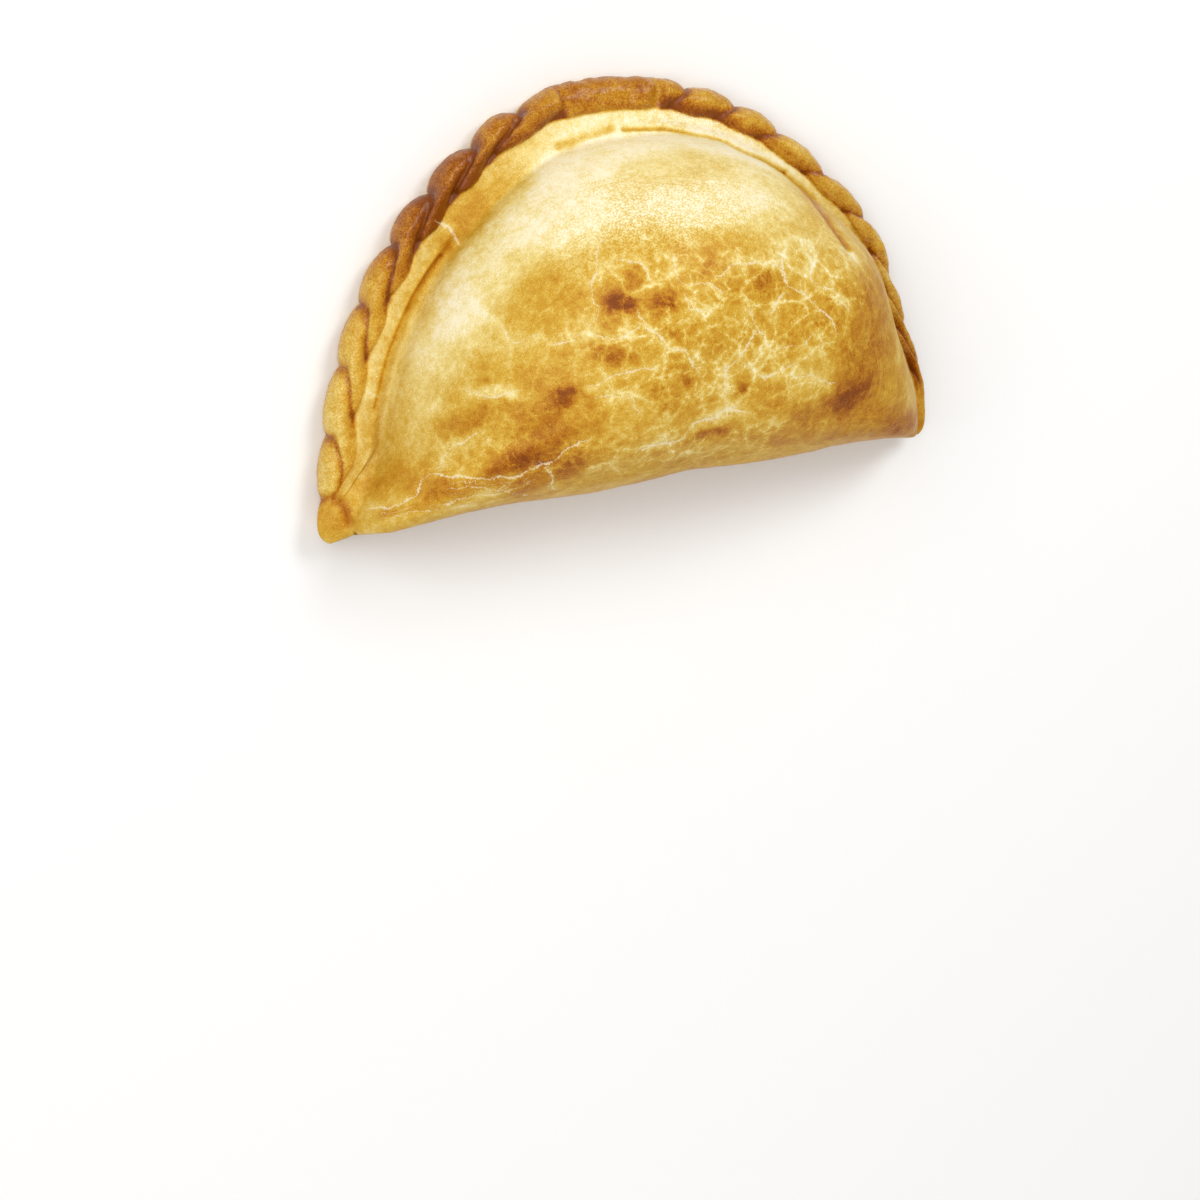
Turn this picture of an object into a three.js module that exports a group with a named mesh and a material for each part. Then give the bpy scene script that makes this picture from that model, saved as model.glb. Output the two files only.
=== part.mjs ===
// A baked empanada: a disc of dough folded over its filling and sealed with a crimped, rope-like rim.
// It is whole and uncut, so it is one solid, lying on its flat underside with the dome up.
// Millimetres, +Z up. +X runs along the folded edge, +Y from the folded edge to the crimped rim.
import * as THREE from 'three';

const { clamp, lerp, smoothstep } = THREE.MathUtils;

// Overall size
const LENGTH = 123; // tip to tip along the folded edge, before the tips' own swells
const DEPTH = 71; // folded edge to the outside of the rim
const HEIGHT = 43; // underside to the top of the dome

// Outline, seen from above
const HALF_LENGTH = LENGTH / 2;
const CENTRE_DEPTH = 0.4 * DEPTH; // the dome's top, measured from the folded edge
const RIM_CENTRE_DROP = 3.5; // the rim's ellipse has its centre this far outside the folded edge
const TIP_SHARPNESS = 26; // the higher, the smaller the radius at the two tips
const LEFT_TIP_DROOP = 5; // the tips stand forward of the folded edge like two feet
const RIGHT_TIP_DROOP = 4.5;
const DROOP_POWER = 5;
const LEAN = 1.6; // the rim's top sits this far to the right of mid length
const FOLD_WAVE = { height: 0.5, length: 38, start: 1 }; // slight waves of the folded edge
const SWELLS = [ // where the rim departs from an ellipse, in mm and radians
  { height: 1.8, angle: 0.17, spread: 0.22 }, // right shoulder
  { height: 0.9, angle: 1.94, spread: 0.28 }, // top left
  { height: 1.5, angle: -2.7, spread: 0.07 }, // left tip, a rounded knob
  { height: 1.3, angle: -0.34, spread: 0.14 }, // right tip
];

// Folded side: a full, rounded bulge
const FOLD_EQUATOR = 15; // height of its widest line at mid length
const TIP_EQUATOR = 5.5; // the same at the two tips
const TIP_POWER = 3; // the higher, the nearer to the tips it drops
const FOLD_UNDERCUT = 9; // from the widest line in to the underside's flat
const FOLD_REACH = 40; // the bulge is fully risen this far in from the folded edge
const FOLD_STEEPNESS = 0.55; // exponents of the dome's rise: the lower, the steeper its foot
const FOLD_BAND = 4; // width of the finely meshed band along the folded edge

// Crimped side: rope and ledge round the foot of the dome
const BAND = 10.5; // rope and ledge together, on the left
const BAND_RIGHT = 7; // the same on the right, where the filling bulges further out
const RIGHT_SPAN = { start: -0.3 * HALF_LENGTH, end: 0.9 * HALF_LENGTH }; // it narrows between these
const TIP_BAND_SHARE = 0.4; // share of that width left at the tips
const RIM_RAMP = { start: 0, end: 9 }; // the rim fades in between these distances from the fold
const BAND_RAMP = { start: -12, end: 10 }; // and reaches its full width between these
const BAND_RAMP_RIGHT = { start: -4, end: 26 }; // more slowly on the right
const RIM_EQUATOR = 3; // height of the rim's outermost line
const RIM_UNDERCUT = 3;
const EDGE_ROUND = 2.6; // how far in the rim's outer edge is rounded
const VALLEY = 4.4; // height between the crimps
const LEDGE = 5.2; // height of the ledge between rope and dome
const LEDGE_START = 5.2;
const LEDGE_BLEND = 1.3;
const BEAD = { rise: 1.4, inward: 7.9, half: 2.3 }; // a low bead of dough along the ledge
const BEAD_END = { start: 56, end: 62 }; // it runs out here, and only a trace of it goes on
const BEAD_TRACE = 0.2;
const FILLET = { rise: 1.5, start: 0.55 }; // past the bead the ledge curves up into the dome
const LEFT_STEEPNESS = 0.7;
const RIGHT_STEEPNESS = 0.56;
const TIP_STEEPNESS = 0.9;

// Knobs of gathered dough at the two tips
const KNOB_RISE = { left: 2.8, right: 1.2 };
const KNOB_RADIUS = 7.5;
const KNOB_INSET = 6.5;

// Dome: the rise from the folded edge and the rise from the rim, run together
const DOME_POWER = 2.3; // the higher, the flatter the dome's top
const DOME_BLEND = 5; // the higher, the sharper the ridges between the two rises
const DOME_CROWN = HEIGHT * 2 ** (1 / DOME_BLEND); // both rises aim here, so that they meet at HEIGHT

// Crimps: slanted lobes from notch to notch, measured along the rim from the left tip
const LEFT_NOTCHES = [-8, 3.5, 15.5, 28.3, 40, 52, 63.5, 75.2, 86, 104, 116]; // pinched by hand, so uneven
const RIGHT_NOTCHES = [90, 101, 112.5, 120.5, 131.5, 142, 155, 168, 181, 191.5, 201, 211, 221];
const BOLD_SPAN = { start: 35, end: 60 }; // low on the left, bold from here to the tab, low after it
const CRIMP_RISE = { low: 2.4, bold: 3 };
const CRIMP_TAPER = 1.2; // a lobe has its full width up to this distance from the rim's edge
const CRIMP_REACH = 5.8; // its rounded inner tip
const CRIMP_SWEEP = { start: 0.3, end: 5, left: 10.5, top: 3 }; // it runs back along the rim on its way in
const RIGHT_SWEEP = { start: 158, end: 196 }; // less so at the top, and fully again from here on
const CRIMP_OVERLAP = { low: 1.35, bold: 1.12 }; // a lobe's width over the space between its notches
const CRIMP_PROFILE = 0.5; // the lower, the fuller its cross-section
const CRIMP_LEAN = 0.2; // it is higher on the side of its tip, which laps over the lobe before
const TIP_FULLNESS = 2.2; // the higher, the blunter its tip
const ROPE_RIGHT = { share: 0.7, start: 95, end: 180 }; // the rope narrows towards the right tip
const SCALLOP = { low: 1.8, bold: 2.7 }; // how far each crimp stands out of the outline
const SCALLOP_LEVEL = 0.72; // share of it that lies inside the plain outline
const TAB = { start: 95, end: 114, rise: 0.62, inner: 6, round: 1.8 }; // plain pressed tab
const TAB_FADE = 2.2; // the first crimp after the tab rises over this length
const TAB_BAR = { start: 109.5, end: 113.7, rise: 0.8 }; // low bar across the tab's right end

// Low lumps of the dome over an uneven filling
const LUMP_WAVES = [
  { height: 0.5, length: 66, heading: 0.3, start: 1.4 },
  { height: 0.4, length: 41, heading: 1.2, start: 2.2 },
  { height: 0.25, length: 27, heading: -0.7, start: 0.4 },
];
const LUMP_FADE = 0.4; // they fade out over this share of the way to the dome's foot

// Mesh
const RIM_STATIONS = 184;
const FOLD_STATIONS = 32;
const TRACE_STEPS = 2880;
const FOLD_PASSES = 4; // passes that find where a ray meets the folded edge
const BAND_RINGS = [0.03, 0.08, 0.15, 0.24, 0.33, 0.42, 0.5, 0.58, 0.66, 0.75, 0.83, 0.91, 1];
const DOME_RINGS = [0.985, 0.95, 0.9, 0.83, 0.74, 0.64, 0.53, 0.42];
const CROWN_RINGS = [0.3, 0.18, 0.08];
const UNDERCUT_RINGS = [0.06, 0.22];
const SOLE_RINGS = [0.55, 1];
const SOLE_INNER = 0.45;

const TIP_ANGLE = Math.atan2(CENTRE_DEPTH, HALF_LENGTH);
const LEFT_TIP = Math.PI + TIP_ANGLE;
const RIGHT_TIP = -TIP_ANGLE;

// The folded edge: nearly straight, with waves, drooping forward at the tips.
function foldEdge(x) {
  const reach = clamp(Math.abs(x) / HALF_LENGTH, 0, 1);
  const droop = x < 0 ? LEFT_TIP_DROOP : RIGHT_TIP_DROOP;
  const wave = FOLD_WAVE.height * Math.sin((2 * Math.PI * x) / FOLD_WAVE.length + FOLD_WAVE.start);
  return wave * (1 - reach) - droop * reach ** DROOP_POWER;
}

// How far the rim stands out of the ellipse in one direction.
function swellAt(angle) {
  let sum = 0;
  for (const { height, angle: middle, spread } of SWELLS) {
    const turn = Math.atan2(Math.sin(angle - middle), Math.cos(angle - middle)) / spread;
    sum += height * Math.exp(-turn * turn);
  }
  return sum;
}

// Distance from the dome's centre to the rim in one direction.
function ellipseRadius(dx, dy) {
  const high = DEPTH + RIM_CENTRE_DROP;
  const wide = HALF_LENGTH / Math.sqrt(1 - (RIM_CENTRE_DROP / high) ** 2);
  const offset = CENTRE_DEPTH + RIM_CENTRE_DROP;
  const a = (dx / wide) ** 2 + (dy / high) ** 2;
  const b = (offset * dy) / high ** 2;
  const c = (offset / high) ** 2 - 1;
  return (Math.sqrt(b * b - a * c) - b) / a + swellAt(Math.atan2(dy, dx));
}

// Distance from the dome's centre to the folded edge in one direction.
function foldRadius(dx, dy) {
  let radius = CENTRE_DEPTH / -dy;
  for (let pass = 0; pass < FOLD_PASSES; pass += 1) {
    const x = clamp(radius * dx, -HALF_LENGTH, HALF_LENGTH);
    radius = (CENTRE_DEPTH - foldEdge(x)) / -dy;
  }
  return radius;
}

// The D-shaped outline: the nearer of ellipse and folded edge, with rounded tips between them.
function outlineRadius(angle) {
  const dx = Math.cos(angle);
  const dy = Math.sin(angle);
  let sum = ellipseRadius(dx, dy) ** -TIP_SHARPNESS;
  if (dy < 0) sum += foldRadius(dx, dy) ** -TIP_SHARPNESS;
  return sum ** (-1 / TIP_SHARPNESS);
}

function outlinePoint(angle) {
  const radius = outlineRadius(angle);
  return new THREE.Vector2(radius * Math.cos(angle), CENTRE_DEPTH + radius * Math.sin(angle));
}

// Samples the outline clockwise from the left tip, with the length walked so far.
function traceOutline() {
  const trace = [];
  let walked = 0;
  for (let step = 0; step <= TRACE_STEPS; step += 1) {
    const angle = LEFT_TIP - (2 * Math.PI * step) / TRACE_STEPS;
    const point = outlinePoint(angle);
    if (step > 0) walked += point.distanceTo(trace[step - 1].point);
    trace.push({ angle, point, walked });
  }
  return trace;
}

function angleAfter(trace, length) {
  const next = trace.findIndex((sample) => sample.walked > length);
  const from = trace[next - 1];
  const to = trace[next];
  return lerp(from.angle, to.angle, (length - from.walked) / (to.walked - from.walked));
}

// Share of the rope's full width.
function ropeShare(along) {
  return lerp(1, ROPE_RIGHT.share, smoothstep(along, ROPE_RIGHT.start, ROPE_RIGHT.end));
}

// How boldly the crimps stand out, from 0 to 1.
function boldness(along) {
  return smoothstep(along, BOLD_SPAN.start, BOLD_SPAN.end) * (1 - smoothstep(along, TAB.start, TAB.end));
}

// How far a lobe has run back along the rim at a distance inward.
function crimpSweep(along, inward) {
  const atRight = smoothstep(along, RIGHT_SWEEP.start, RIGHT_SWEEP.end);
  const full = lerp(CRIMP_SWEEP.top, CRIMP_SWEEP.left, along < TAB.start ? 1 : atRight);
  return full * smoothstep(inward, CRIMP_SWEEP.start, CRIMP_SWEEP.end);
}

// Crimps from the first notch to a place of the rope, counted along their sweep.
function crimpCount(along, inward) {
  const notches = along < TAB.start ? LEFT_NOTCHES : RIGHT_NOTCHES;
  const place = clamp(along + crimpSweep(along, inward), notches[0], notches.at(-1));
  const next = Math.max(1, notches.findIndex((notch) => notch >= place));
  return next - 1 + (place - notches[next - 1]) / (notches[next] - notches[next - 1]);
}

// One lobe's height share beside its middle line: about half round, tapering to its inner tip.
function lobeHeight(aside, inward, overlap) {
  const past = clamp((inward - CRIMP_TAPER) / (CRIMP_REACH - CRIMP_TAPER), 0, 1);
  const taper = Math.sqrt(1 - past ** TIP_FULLNESS);
  const offset = (2 * aside) / (overlap * Math.max(taper, 1e-6));
  return Math.max(0, 1 - offset ** 2) ** CRIMP_PROFILE * (1 - CRIMP_LEAN * offset) * taper;
}

// The higher of the two lobes that reach a place of the rope.
function crimpHeight(along, inward) {
  const count = crimpCount(along, inward);
  const nearest = Math.floor(count);
  const neighbour = Math.round(count) === nearest ? nearest - 1 : nearest + 1;
  const overlap = lerp(CRIMP_OVERLAP.low, CRIMP_OVERLAP.bold, boldness(along));
  return Math.max(...[nearest, neighbour].map((lobe) => lobeHeight(count - lobe - 0.5, inward, overlap)));
}

// A flat-topped pad with rounded sides between two places along the rim.
function padHeight(along, inward, pad) {
  const ends = smoothstep(along, pad.start - 2 * TAB.round, pad.start)
    * (1 - smoothstep(along, pad.end - TAB.round, pad.end + TAB.round));
  const inner = 1 - smoothstep(inward, TAB.inner - TAB.round, TAB.inner);
  return pad.rise * ends * inner;
}

function onTab(along) {
  return smoothstep(along, TAB.start - TAB.round, TAB.start)
    * (1 - smoothstep(along, TAB.end, TAB.end + TAB_FADE));
}

function ropeHeight(along, inward) {
  const pads = Math.max(padHeight(along, inward, TAB), padHeight(along, inward, TAB_BAR));
  const crimps = crimpHeight(along, inward) * (1 - onTab(along));
  const rise = lerp(CRIMP_RISE.low, CRIMP_RISE.bold, boldness(along));
  return rise * Math.sqrt(ropeShare(along)) * Math.max(pads, crimps);
}

// Each crimp stands out of the outline a little, less so further in; the tab runs smooth.
function scallop(along, inward) {
  const wave = Math.abs(Math.sin(Math.PI * crimpCount(along, inward)));
  const share = Math.max(0, 1 - inward / CRIMP_REACH) ** 2;
  const reach = lerp(SCALLOP.low, SCALLOP.bold, boldness(along));
  return reach * share * (lerp(Math.sqrt(wave), 1, onTab(along)) - SCALLOP_LEVEL);
}

// A quarter round: 0 at the edge, level at 1.
function roundedEdge(share) {
  return Math.sqrt(1 - (1 - clamp(share, 0, 1)) ** 2);
}

// Share of the bead's run that lies behind.
function pastBead(along) {
  return smoothstep(along, BEAD_END.start, BEAD_END.end);
}

// The bead's height above the ledge.
function beadHeight(along, inward) {
  const aside = clamp((inward - BEAD.inward) / BEAD.half, -1, 1);
  return BEAD.rise * lerp(1, BEAD_TRACE, pastBead(along)) * Math.cos((Math.PI / 2) * aside) ** 2;
}

// Top of the rope and ledge at a distance in from the rim's edge, in millimetres of the full band.
function bandHeight(along, inward) {
  const onRope = inward / ropeShare(along);
  const ledge = smoothstep(onRope, LEDGE_START - LEDGE_BLEND, LEDGE_START + LEDGE_BLEND);
  const full = lerp(VALLEY, LEDGE, ledge) + beadHeight(along, inward) + ropeHeight(along, onRope);
  return lerp(RIM_EQUATOR, full, roundedEdge(inward / EDGE_ROUND));
}

// Height reached at a share of the way from the dome's middle to its foot.
function domeRise(share, base, steepness) {
  return base + (DOME_CROWN - base) * Math.max(0, 1 - share ** DOME_POWER) ** steepness;
}

function lumpHeight(x, y) {
  let sum = 0;
  for (const { height, length, heading, start } of LUMP_WAVES) {
    const across = x * Math.cos(heading) + y * Math.sin(heading);
    sum += height * Math.sin((2 * Math.PI * across) / length + start);
  }
  return sum;
}

// Cosine of the angle between a curve's outward normal and the ray that meets it.
function slantOf(radiusAt, angle) {
  const step = 1e-4;
  const change = (radiusAt(angle + step) - radiusAt(angle - step)) / (2 * step);
  return 1 / Math.hypot(1, change / radiusAt(angle));
}

// All that the surface needs to know about one place on the outline.
function makeStation(angle, along) {
  const radius = outlineRadius(angle);
  const { x, y } = outlinePoint(angle);
  const rimRadius = (at) => ellipseRadius(Math.cos(at), Math.sin(at));
  const rim = smoothstep(y, RIM_RAMP.start, RIM_RAMP.end);
  const right = smoothstep(x, RIGHT_SPAN.start, RIGHT_SPAN.end);
  const rampStart = lerp(BAND_RAMP.start, BAND_RAMP_RIGHT.start, right);
  const full = smoothstep(y, rampStart, lerp(BAND_RAMP.end, BAND_RAMP_RIGHT.end, right));
  const band = lerp(BAND, BAND_RIGHT, right);
  const width = band * lerp(TIP_BAND_SHARE, 1, full);
  const domeFoot = rimRadius(angle) - width / slantOf(rimRadius, angle);
  const station = { angle, along, radius, rim, band, domeFoot };
  station.fillet = FILLET.rise * pastBead(along) * full;
  station.foot = lerp(radius - FOLD_BAND, domeFoot, rim);
  station.steepness = lerp(TIP_STEEPNESS, lerp(LEFT_STEEPNESS, RIGHT_STEEPNESS, right), full);
  station.undercut = lerp(FOLD_UNDERCUT, RIM_UNDERCUT, rim) / slantOf(outlineRadius, angle);
  station.equator = lerp(domeHeight(station, radius), RIM_EQUATOR, rim);
  return station;
}

function surfacePoint(station, radius, z) {
  const y = CENTRE_DEPTH + radius * Math.sin(station.angle);
  return new THREE.Vector3(radius * Math.cos(station.angle) + (LEAN * y) / DEPTH, y, z);
}

// Height of the plain dome on one ray.
function domeHeight(station, radius) {
  const { x, y } = surfacePoint(station, radius, 0);
  const tipward = clamp(Math.abs(x) / HALF_LENGTH, 0, 1) ** TIP_POWER;
  const fromFold = clamp((y - foldEdge(x)) / FOLD_REACH, 0, 1);
  const foldRise = domeRise(1 - fromFold, lerp(FOLD_EQUATOR, TIP_EQUATOR, tipward), FOLD_STEEPNESS);
  const rimRise = domeRise(Math.min(1, radius / station.domeFoot), LEDGE, station.steepness);
  return (foldRise ** -DOME_BLEND + rimRise ** -DOME_BLEND) ** (-1 / DOME_BLEND);
}

function knobHeight(x, y) {
  const aside = HALF_LENGTH - KNOB_INSET - Math.abs(x);
  const rise = x < 0 ? KNOB_RISE.left : KNOB_RISE.right;
  return rise * Math.exp(-(aside ** 2 + y ** 2) / KNOB_RADIUS ** 2);
}

// Upper surface at a share of the band's width in from the outline.
function bandPoint(station, share) {
  const { along, radius: outer, foot, rim } = station;
  const inward = share * station.band;
  const radius = lerp(outer, foot, share);
  const curve = station.fillet * smoothstep(share, FILLET.start, 1) ** 2;
  const z = lerp(domeHeight(station, radius), bandHeight(along, inward) + curve, rim);
  const out = scallop(along, inward / ropeShare(along)) * rim;
  const point = surfacePoint(station, radius + out, z);
  point.z += knobHeight(point.x, point.y) * roundedEdge(share);
  return point;
}

// Upper surface inside the band, at a share of the way from the dome's centre to its foot.
function domePoint(station, share) {
  const radius = share * station.foot;
  const point = surfacePoint(station, radius, domeHeight(station, radius));
  point.z += lumpHeight(point.x, point.y) * smoothstep(1 - share, 0, LUMP_FADE);
  point.z += knobHeight(point.x, point.y);
  return point;
}

// Lower surface from the outline in to the flat underside.
function undercutPoint(station, share) {
  const out = scallop(station.along, 0) * station.rim * (1 - share);
  const radius = station.radius - share * station.undercut + out;
  return surfacePoint(station, radius, station.equator * (1 - roundedEdge(share)));
}

function solePoint(station, share) {
  return surfacePoint(station, share * (station.radius - station.undercut), 0);
}

// Collects rings of points and the triangles between them.
class Skin {
  constructor() {
    this.positions = [];
    this.triangles = [];
  }

  add(point) {
    this.positions.push(point.x, point.y, point.z);
    return this.positions.length / 3 - 1;
  }

  ring(stations, makePoint) {
    return stations.map((station) => this.add(makePoint(station)));
  }

  // Joins two rings whose points start at the same place, whatever their counts.
  stitch(lower, upper) {
    let i = 0;
    let j = 0;
    while (i < lower.length || j < upper.length) {
      const a = lower[i % lower.length];
      const b = upper[j % upper.length];
      if (j === upper.length || (i < lower.length && (i + 1) / lower.length <= (j + 1) / upper.length)) {
        i += 1;
        this.triangles.push(a, b, lower[i % lower.length]);
      } else {
        j += 1;
        this.triangles.push(a, b, upper[j % upper.length]);
      }
    }
  }

  close(ring, centre, facingUp) {
    const hub = this.add(centre);
    ring.forEach((corner, i) => {
      const next = ring[(i + 1) % ring.length];
      this.triangles.push(hub, ...(facingUp ? [next, corner] : [corner, next]));
    });
  }

  geometry() {
    const geometry = new THREE.BufferGeometry();
    geometry.setAttribute('position', new THREE.Float32BufferAttribute(this.positions, 3));
    geometry.setIndex(this.triangles);
    geometry.computeVertexNormals();
    return geometry;
  }
}

function makeStations() {
  const trace = traceOutline();
  const total = trace[TRACE_STEPS].walked;
  const rimLength = trace.find((sample) => sample.angle <= RIGHT_TIP).walked;
  const stations = [];
  for (let i = 0; i < RIM_STATIONS; i += 1) {
    const along = (rimLength * i) / RIM_STATIONS;
    stations.push(makeStation(angleAfter(trace, along), along));
  }
  for (let i = 0; i < FOLD_STATIONS; i += 1) {
    const share = 0.5 - 0.5 * Math.cos((Math.PI * i) / FOLD_STATIONS);
    const along = lerp(rimLength, total, share);
    stations.push(makeStation(angleAfter(trace, along), along));
  }
  return stations;
}

function empanadaGeometry() {
  const all = makeStations();
  const half = all.filter((station, i) => i % 2 === 0);
  const quarter = all.filter((station, i) => i % 4 === 0);
  const skin = new Skin();
  const rings = [skin.ring(quarter, (station) => solePoint(station, SOLE_INNER))];
  skin.close(rings[0], new THREE.Vector3(0, CENTRE_DEPTH, 0), false);
  for (const share of [...SOLE_RINGS].reverse()) {
    rings.push(skin.ring(half, (station) => undercutPoint(station, share)));
  }
  for (const share of [...UNDERCUT_RINGS].reverse()) {
    rings.push(skin.ring(all, (station) => undercutPoint(station, share)));
  }
  rings.push(skin.ring(all, (station) => undercutPoint(station, 0)));
  for (const share of BAND_RINGS) rings.push(skin.ring(all, (station) => bandPoint(station, share)));
  for (const share of DOME_RINGS) rings.push(skin.ring(half, (station) => domePoint(station, share)));
  for (const share of CROWN_RINGS) rings.push(skin.ring(quarter, (station) => domePoint(station, share)));
  for (let i = 1; i < rings.length; i += 1) skin.stitch(rings[i - 1], rings[i]);
  skin.close(rings.at(-1), domePoint(all[0], 0), true);
  return skin.geometry();
}

// Puts the origin under the middle of the bounding box, on the surface that it rests on.
function centreOnBase(geometry) {
  geometry.computeBoundingBox();
  const { min, max } = geometry.boundingBox;
  geometry.translate(-(min.x + max.x) / 2, -(min.y + max.y) / 2, -min.z);
  return geometry;
}

const crust = new THREE.MeshStandardMaterial({ color: 0xd4ad62, roughness: 0.45, metalness: 0 });
const empanada = new THREE.Mesh(centreOnBase(empanadaGeometry()), crust);
empanada.name = 'empanada';

const part = new THREE.Group();
part.add(empanada);

export default part;
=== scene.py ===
"""A baked empanada dressed over its solid model: crimped rope rim, crackled golden crust, egg-wash gloss."""

import math
from functools import partial

import bpy
import numpy as np
from bpy.props import FloatProperty, FloatVectorProperty, PointerProperty
from mathutils import Matrix, Vector, noise


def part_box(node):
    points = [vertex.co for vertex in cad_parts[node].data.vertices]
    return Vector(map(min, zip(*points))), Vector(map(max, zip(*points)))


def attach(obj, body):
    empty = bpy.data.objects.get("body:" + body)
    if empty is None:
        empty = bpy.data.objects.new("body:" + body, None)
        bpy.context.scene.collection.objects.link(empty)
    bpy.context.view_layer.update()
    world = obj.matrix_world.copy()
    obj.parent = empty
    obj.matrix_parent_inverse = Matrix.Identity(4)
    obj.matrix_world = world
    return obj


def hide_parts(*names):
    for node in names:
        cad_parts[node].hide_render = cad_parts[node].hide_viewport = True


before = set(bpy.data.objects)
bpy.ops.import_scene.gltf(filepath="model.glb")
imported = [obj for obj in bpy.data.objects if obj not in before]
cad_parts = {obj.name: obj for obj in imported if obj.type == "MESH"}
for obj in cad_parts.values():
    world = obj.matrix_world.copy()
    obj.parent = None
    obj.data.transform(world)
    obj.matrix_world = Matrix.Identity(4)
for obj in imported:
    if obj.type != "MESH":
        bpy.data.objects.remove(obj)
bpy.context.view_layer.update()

bl_info = {
    "name": "Baked empanada",
    "version": (1, 0, 0),
    "blender": (4, 5, 0),
    "location": "3D View > Sidebar > Empanada",
    "description": "Builds a crimped, egg-washed empanada and a pale studio round it",
    "category": "Object",
}

MM = 0.001

# Outline of the folded dough, in millimetres
CENTRE_SHARE = 0.4
RIM_CENTRE_DROP = 3.5
TIP_SHARPNESS = 26
LEFT_TIP_DROOP = 5
RIGHT_TIP_DROOP = 4.5
DROOP_POWER = 5
LEAN = 1.6
SWELLS = (
    {"height": 1.8, "angle": 0.17, "spread": 0.22},
    {"height": 0.9, "angle": 1.94, "spread": 0.28},
    {"height": 1.5, "angle": -2.7, "spread": 0.07},
    {"height": 1.3, "angle": -0.34, "spread": 0.14},
)
FOLD_WAVE = {"height": 0.5, "length": 38, "start": 1}
FOLD_PASSES = 4
LEAST_FALL = 1e-3

# Folded side
FOLD_EQUATOR = 15
TIP_EQUATOR = 5.5
TIP_POWER = 3
FOLD_UNDERCUT = 9
FOLD_REACH = 40
FOLD_STEEPNESS = 0.55
FOLD_BAND = 4

# Rope and ledge round the dome's foot
BAND = 10.5
BAND_RIGHT = 7
RIGHT_SPAN = (-0.3, 0.9)
TIP_BAND_SHARE = 0.4
RIM_RAMP = (0, 9)
BAND_RAMP = (-12, 10)
BAND_RAMP_RIGHT = (-4, 26)
RIM_EQUATOR = 3
RIM_UNDERCUT = 3
EDGE_ROUND = 2.6
VALLEY = 4.4
LEDGE = 5.2
LEDGE_START = 5.2
LEDGE_BLEND = 1.3
BEAD = {"rise": 1.4, "inward": 7.9, "half": 2.3, "trace": 0.2}
BEAD_END = (56, 62)
FILLET = {"rise": 1.5, "start": 0.55}
LEFT_STEEPNESS = 0.7
RIGHT_STEEPNESS = 0.56
TIP_STEEPNESS = 0.9
KNOB = {"left": 2.8, "right": 1.2, "radius": 7.5, "inset": 6.5}

# Dome
DOME_POWER = 2.3
DOME_BLEND = 5
LUMP_WAVES = (
    {"height": 0.5, "length": 66, "heading": 0.3, "start": 1.4},
    {"height": 0.4, "length": 41, "heading": 1.2, "start": 2.2},
    {"height": 0.25, "length": 27, "heading": -0.7, "start": 0.4},
)
LUMP_FADE = 0.4

# Crimps, measured along the rim from the left tip
LEFT_NOTCHES = (-8, 3.5, 15.5, 28.3, 40, 52, 63.5, 75.2, 86, 104, 116)
RIGHT_NOTCHES = (90, 101, 112.5, 120.5, 131.5, 142, 155, 168, 181, 191.5, 201, 211, 221)
CRIMP_PITCH = 11.6
BOLD_SPAN = (35, 60)
CRIMP_RISES = (0.8, 1)
CRIMP_TAPER = 1.2
LEAST_TAPER = 1e-6
CRIMP_SWEEP = {"start": 0.3, "end": 5, "left": 10.5, "top": 3}
RIGHT_SWEEP = (158, 196)
CRIMP_OVERLAPS = (1.35, 1.12)
CRIMP_PROFILE = 0.5
CRIMP_LEAN = 0.2
TIP_FULLNESS = 2.2
ROPE_RIGHT = {"share": 0.7, "start": 95, "end": 180}
SCALLOPS = (1.8, 2.7)
SCALLOP_LEVEL = 0.72
TAB = {"start": 95, "end": 114, "rise": 0.62, "inner": 6, "round": 1.8, "fade": 2.2}
TAB_BAR = {"start": 109.5, "end": 113.7, "rise": 0.8}

# Mesh: stations round the outline, and rings of so many points each: start, end and count
RIM_STATIONS = 768
FOLD_STATIONS = 256
TRACE_STEPS = 7200
BAND_RINGS = 40
UNDERCUT_RINGS = 8
DOME_RINGS = {512: (1, 0.44, 62), 256: (0.44, 0.16, 28), 128: (0.16, 0.02, 10)}
SOLE_RINGS = {256: (0.3, 0.7, 4), 512: (0.7, 1, 4)}

# The photograph's view: a square frame, its camera aimed at a point on the floor
PHOTO_SIDE = 1200
LENS = 85
SENSOR = 36
VIEW_TURN = math.radians(21.84)
VIEW_RISE = math.radians(14.84)
VIEW_ROLL = math.radians(-5.05)
VIEW_DISTANCE = 537.6
VIEW_TARGET = (-7.35, -59.5, 0)

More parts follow.
